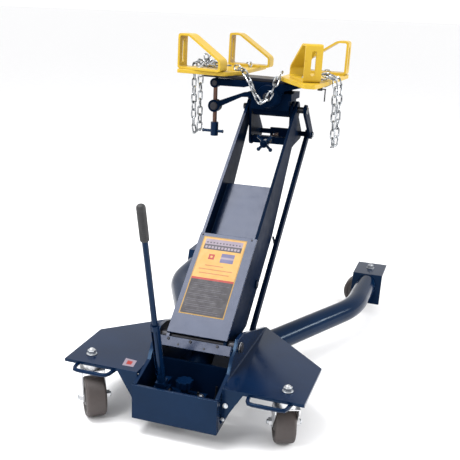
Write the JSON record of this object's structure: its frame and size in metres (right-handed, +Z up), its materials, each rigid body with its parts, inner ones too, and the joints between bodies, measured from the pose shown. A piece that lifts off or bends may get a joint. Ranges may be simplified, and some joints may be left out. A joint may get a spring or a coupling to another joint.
{
  "type": "transmission jack",
  "caption": "Rolling hydraulic lift with a splayed caster base, an inclined parallel-link arm and a tilting saddle with corner brackets and chains.",
  "frame": {"origin": "on the floor, under the middle of the bounding box", "axes": "+Z up, +Y towards the rear casters and away from the pump handle, +X to the right seen from the handle"},
  "size_m": [0.705, 1.2006, 0.9175],
  "materials": {
    "navy_paint": "gloss",
    "yellow_paint": "gloss",
    "zinc": "satin",
    "dark_steel": "satin",
    "brown_steel": "satin",
    "chrome": "polished",
    "wheel": "matte",
    "grip": "matte"
  },
  "bodies": {
    "chassis": {"front_plate": "navy_paint", "side_plate_left": "navy_paint", "side_plate_right": "navy_paint", "pump_tray": "navy_paint", "cross_plate": "navy_paint", "wing_left": "navy_paint", "wing_right": "navy_paint", "leg_tube_left": "navy_paint", "leg_tube_right": "navy_paint", "leg_bracket_left": "navy_paint", "leg_bracket_right": "navy_paint", "pivot_shaft": "dark_steel", "cylinder_pin": "dark_steel", "stem_nut_front_left": "zinc", "stem_nut_front_right": "zinc", "stem_nut_rear_left": "zinc", "stem_nut_rear_right": "zinc", "pump_block": "navy_paint"},
    "lift_arm": {"arm_side_left": "navy_paint", "arm_side_right": "navy_paint", "arm_cover": "navy_paint", "arm_web": "navy_paint", "arm_lug_shaft": "dark_steel", "head_shaft": "dark_steel"},
    "parallel_link": {"link_rod": "navy_paint"},
    "cylinder": {"lift_cylinder": "navy_paint"},
    "ram": {"lift_ram": "chrome"},
    "level_head": {"level_ear_left": "navy_paint", "level_ear_right": "navy_paint", "link_lever": "navy_paint"},
    "tilting_head": {"tilt_head": "navy_paint"},
    "tilt_screw_body": {"tilt_screw": "navy_paint"},
    "tilt_nut_body": {"tilt_nut": "brown_steel"},
    "trunnion": {"screw_trunnion": "dark_steel"},
    "saddle": {"rocker": "navy_paint", "saddle_bar": "dark_steel", "saddle_plate_left": "yellow_paint", "saddle_plate_right": "yellow_paint", "chain_center": "zinc", "chain_left": "zinc", "chain_right": "zinc"},
    "knuckle": {"knuckle_pin": "dark_steel"},
    "lateral_screw_body": {"lateral_screw": "brown_steel"},
    "handle": {"handle_socket": "navy_paint", "handle_rod": "navy_paint", "handle_grip": "grip"},
    "plunger": {"pump_plunger": "chrome"},
    "release": {"release_knob": "navy_paint"},
    "bracket_front_left": {"corner_bracket_front_left": "yellow_paint"},
    "bracket_rear_left": {"corner_bracket_rear_left": "yellow_paint"},
    "bracket_front_right": {"corner_bracket_front_right": "yellow_paint"},
    "bracket_rear_right": {"corner_bracket_rear_right": "yellow_paint"},
    "fork_front_left": {"caster_fork_front_left": "zinc"},
    "wheel_front_left": {"caster_wheel_front_left": "wheel"},
    "fork_front_right": {"caster_fork_front_right": "zinc"},
    "wheel_front_right": {"caster_wheel_front_right": "wheel"},
    "fork_rear_left": {"caster_fork_rear_left": "zinc"},
    "wheel_rear_left": {"caster_wheel_rear_left": "wheel"},
    "fork_rear_right": {"caster_fork_rear_right": "zinc"},
    "wheel_rear_right": {"caster_wheel_rear_right": "wheel"}
  },
  "joints": [
    {"name": "arm_lift", "type": "hinge", "parent": "chassis", "child": "lift_arm", "pos_m": [0, -0.35968, 0.196], "axis": [1, 0, 0], "range_deg": [-42, 8]},
    {"name": "link_swing", "type": "hinge", "parent": "chassis", "child": "parallel_link", "pos_m": [0.0913, -0.26468, 0.11], "axis": [1, 0, 0], "range_deg": [-43, 9]},
    {"name": "cylinder_swing", "type": "hinge", "parent": "chassis", "child": "cylinder", "pos_m": [0, -0.37568, 0.104], "axis": [1, 0, 0], "range_deg": [-37, 9]},
    {"name": "ram_stroke", "type": "slide", "parent": "cylinder", "child": "ram", "axis": [0, 0.8102, 0.5861], "range_m": [-0.064, 0.014]},
    {"name": "head_level", "type": "hinge", "parent": "lift_arm", "child": "level_head", "pos_m": [0, 0.24614, 0.70615], "axis": [1, 0, 0], "range_deg": [-9, 43]},
    {"name": "fore_aft_tilt", "type": "hinge", "parent": "level_head", "child": "tilting_head", "pos_m": [0, 0.24614, 0.70615], "axis": [1, 0, 0], "range_deg": [-10, 10]},
    {"name": "tilt_screw_turn", "type": "hinge", "parent": "level_head", "child": "tilt_screw_body", "pos_m": [0, 0.24614, 0.60915], "axis": [0, 1, 0], "range_deg": [-620, 620]},
    {"name": "tilt_nut_travel", "type": "slide", "parent": "level_head", "child": "tilt_nut_body", "axis": [0, 1, 0], "range_m": [-0.018, 0.018]},
    {"name": "trunnion_swivel", "type": "hinge", "parent": "tilting_head", "child": "trunnion", "pos_m": [-0.17243, 0.20614, 0.70615], "axis": [0, 1, 0], "range_deg": [-4, 4]},
    {"name": "lateral_tilt", "type": "hinge", "parent": "tilting_head", "child": "saddle", "pos_m": [0, 0.24614, 0.74815], "axis": [0, 1, 0], "range_deg": [-8, 5.5]},
    {"name": "knuckle_swivel", "type": "hinge", "parent": "saddle", "child": "knuckle", "pos_m": [-0.17243, 0.20614, 0.77526], "axis": [0, 1, 0], "range_deg": [-6, 7]},
    {"name": "lateral_screw_turn", "type": "hinge", "parent": "knuckle", "child": "lateral_screw_body", "pos_m": [-0.17243, 0.20614, 0.72615], "axis": [0, 0, 1], "range_deg": [-900, 900]},
    {"name": "handle_pump", "type": "hinge", "parent": "chassis", "child": "handle", "pos_m": [-0.052, -0.46368, 0.1], "axis": [1, 0, 0], "range_deg": [-35, 24]},
    {"name": "plunger_stroke", "type": "slide", "parent": "chassis", "child": "plunger", "axis": [0, 0, 1], "range_m": [-0.024, 0.017]},
    {"name": "release_turn", "type": "hinge", "parent": "chassis", "child": "release", "pos_m": [-0.006, -0.43568, 0.113], "axis": [0, 0, 1], "range_deg": [-20, 160]},
    {"name": "bracket_turn_front_left", "type": "hinge", "parent": "saddle", "child": "bracket_front_left", "pos_m": [-0.21187, 0.17345, 0.81597], "axis": [0.0227, 0, 0.9997], "range_deg": [-20, 20]},
    {"name": "bracket_turn_rear_left", "type": "hinge", "parent": "saddle", "child": "bracket_rear_left", "pos_m": [-0.14453, 0.45214, 0.81444], "axis": [0.0227, 0, 0.9997], "range_deg": [-20, 20]},
    {"name": "bracket_turn_front_right", "type": "hinge", "parent": "saddle", "child": "bracket_front_right", "pos_m": [0.1194, 0.13556, 0.80845], "axis": [0.0227, 0, 0.9997], "range_deg": [-20, 2]},
    {"name": "bracket_turn_rear_right", "type": "hinge", "parent": "saddle", "child": "bracket_rear_right", "pos_m": [0.1254, 0.41814, 0.80832], "axis": [0.0227, 0, 0.9997], "range_deg": [-20, 20]},
    {"name": "caster_swivel_front_left", "type": "hinge", "parent": "chassis", "child": "fork_front_left", "pos_m": [-0.254, -0.44368, 0.13], "axis": [0, 0, 1], "continuous": true},
    {"name": "caster_spin_front_left", "type": "hinge", "parent": "fork_front_left", "child": "wheel_front_left", "pos_m": [-0.23414, -0.47004, 0.0508], "axis": [0.7986, 0.6018, 0], "continuous": true},
    {"name": "caster_swivel_front_right", "type": "hinge", "parent": "chassis", "child": "fork_front_right", "pos_m": [0.254, -0.44368, 0.13], "axis": [0, 0, 1], "continuous": true},
    {"name": "caster_spin_front_right", "type": "hinge", "parent": "fork_front_right", "child": "wheel_front_right", "pos_m": [0.24217, -0.41287, 0.0508], "axis": [-0.9336, -0.3584, 0], "continuous": true},
    {"name": "caster_swivel_rear_left", "type": "hinge", "parent": "chassis", "child": "fork_rear_left", "pos_m": [-0.303, 0.54232, 0.13], "axis": [0, 0, 1], "continuous": true},
    {"name": "caster_spin_rear_left", "type": "hinge", "parent": "fork_rear_left", "child": "wheel_rear_left", "pos_m": [-0.28407, 0.51529, 0.0508], "axis": [0.8192, 0.5736, 0], "continuous": true},
    {"name": "caster_swivel_rear_right", "type": "hinge", "parent": "chassis", "child": "fork_rear_right", "pos_m": [0.303, 0.54232, 0.13], "axis": [0, 0, 1], "continuous": true},
    {"name": "caster_spin_rear_right", "type": "hinge", "parent": "fork_rear_right", "child": "wheel_rear_right", "pos_m": [0.27, 0.54232, 0.0508], "axis": [0, -1, 0], "continuous": true}
  ],
  "couplings": [
    {"joint": "link_swing", "follows": "arm_lift", "ratio": 1},
    {"joint": "cylinder_swing", "follows": "arm_lift", "ratio": 0.83},
    {"joint": "ram_stroke", "follows": "arm_lift", "m_per_rad": 0.079},
    {"joint": "head_level", "follows": "arm_lift", "ratio": -1},
    {"joint": "tilt_nut_travel", "follows": "fore_aft_tilt", "m_per_rad": 0.097},
    {"joint": "tilt_screw_turn", "follows": "fore_aft_tilt", "ratio": -60.947},
    {"joint": "trunnion_swivel", "follows": "lateral_tilt", "ratio": 0.33},
    {"joint": "knuckle_swivel", "follows": "lateral_tilt", "ratio": -0.67},
    {"joint": "lateral_screw_turn", "follows": "lateral_tilt", "ratio": -108.7},
    {"joint": "plunger_stroke", "follows": "handle_pump", "m_per_rad": 0.0354}
  ]
}
